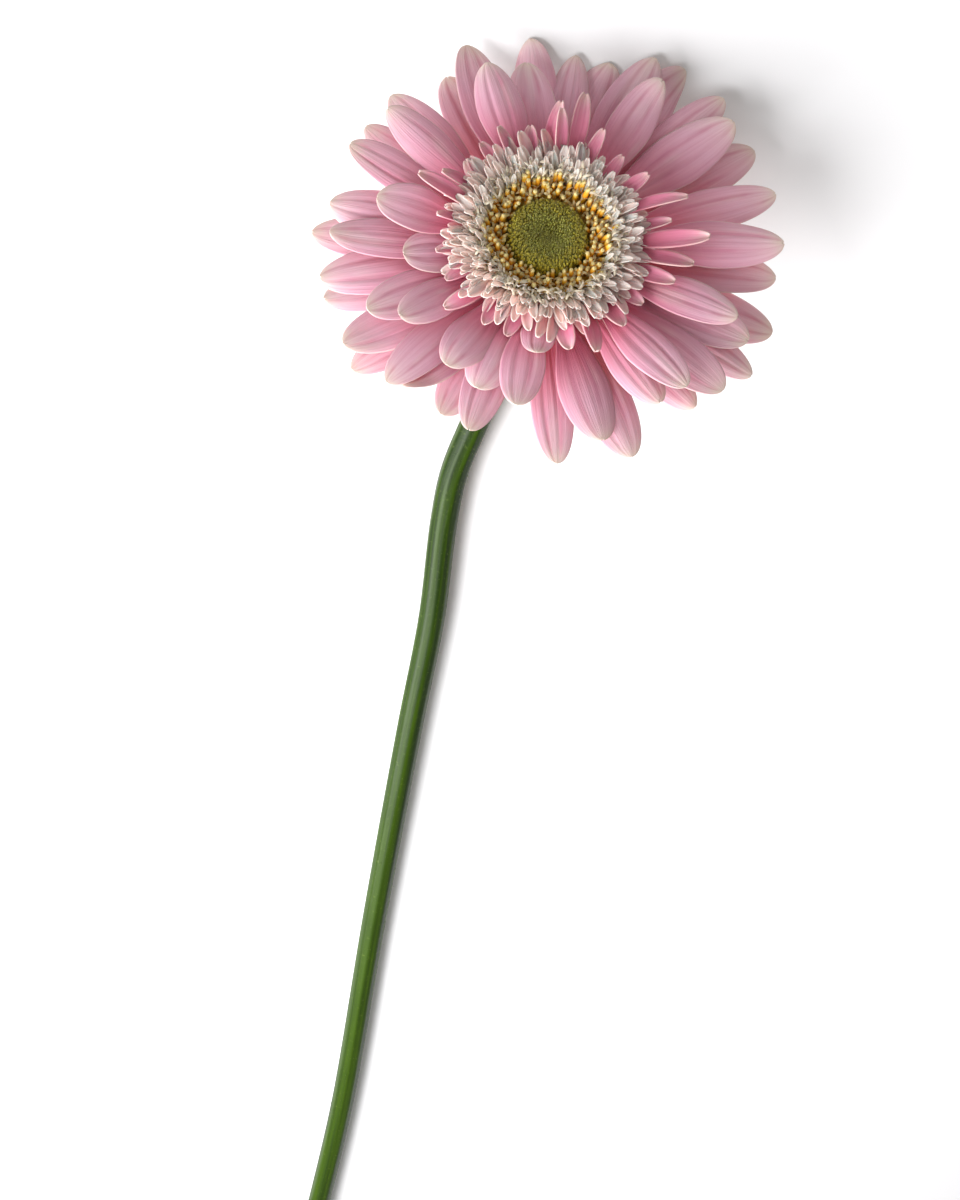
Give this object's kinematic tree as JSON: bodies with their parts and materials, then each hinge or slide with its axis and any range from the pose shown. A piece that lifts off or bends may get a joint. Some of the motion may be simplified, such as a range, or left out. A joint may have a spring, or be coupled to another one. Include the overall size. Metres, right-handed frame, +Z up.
{
  "type": "cut gerbera",
  "caption": "Cut gerbera lying on its side: a pale pink flower with a green disc in a white fringe, on a long curved bare stem.",
  "frame": {"origin": "middle of the flower's box, on the surface it lies on", "axes": "+Z up from the surface; +Y along the stem from the flower to the cut; the face looks up and towards -Y"},
  "size_m": [0.139, 0.42, 0.0641],
  "materials": {
    "ray_petals": "soft satin petal, pale pink with a deeper pink foot, fine lengthwise veins and a cream edge",
    "small_rays": "soft satin petal, deeper pink with cream edges",
    "fringe_florets": "matt creamy white florets, flushed pink at the foot",
    "open_florets": "matt ochre anthers with cream tips",
    "disc_florets": "matt olive green buds with fine pale hair",
    "receptacle": "matt green plant flesh",
    "bracts": "matt green bracts with fine hair",
    "stem": "satin green stem with faint ribs and fine hair, pale at the cut"
  },
  "bodies": {
    "root": {"bracts_inner": "bracts", "bracts_middle": "bracts", "bracts_outer": "bracts", "disc_florets": "disc_florets", "fringe_florets": "fringe_florets", "open_florets": "open_florets", "ray_back_01": "ray_petals", "ray_back_02": "ray_petals", "ray_back_03": "ray_petals", "ray_back_04": "ray_petals", "ray_back_05": "ray_petals", "ray_back_06": "ray_petals", "ray_back_07": "ray_petals", "ray_back_08": "ray_petals", "ray_back_09": "ray_petals", "ray_back_10": "ray_petals", "ray_back_11": "ray_petals", "ray_back_12": "ray_petals", "ray_back_13": "ray_petals", "ray_back_14": "ray_petals", "ray_front_01": "ray_petals", "ray_front_02": "ray_petals", "ray_front_03": "ray_petals", "ray_front_04": "ray_petals", "ray_front_05": "ray_petals", "ray_front_06": "ray_petals", "ray_front_07": "ray_petals", "ray_front_08": "ray_petals", "ray_front_09": "ray_petals", "ray_front_10": "ray_petals", "ray_mid_back_01": "ray_petals", "ray_mid_back_02": "ray_petals", "ray_mid_back_03": "ray_petals", "ray_mid_back_04": "ray_petals", "ray_mid_back_05": "ray_petals", "ray_mid_back_06": "ray_petals", "ray_mid_back_07": "ray_petals", "ray_mid_back_08": "ray_petals", "ray_mid_back_09": "ray_petals", "ray_mid_back_10": "ray_petals", "ray_mid_back_11": "ray_petals", "ray_mid_back_12": "ray_petals", "ray_mid_back_13": "ray_petals", "ray_mid_back_14": "ray_petals", "ray_mid_front_01": "ray_petals", "ray_mid_front_02": "ray_petals", "ray_mid_front_03": "ray_petals", "ray_mid_front_04": "ray_petals", "ray_mid_front_05": "ray_petals", "ray_mid_front_06": "ray_petals", "ray_mid_front_07": "ray_petals", "ray_mid_front_08": "ray_petals", "ray_mid_front_09": "ray_petals", "ray_mid_front_10": "ray_petals", "ray_mid_front_11": "ray_petals", "ray_mid_front_12": "ray_petals", "receptacle": "receptacle", "small_rays": "small_rays", "stem": "stem"}
  },
  "joints": []
}
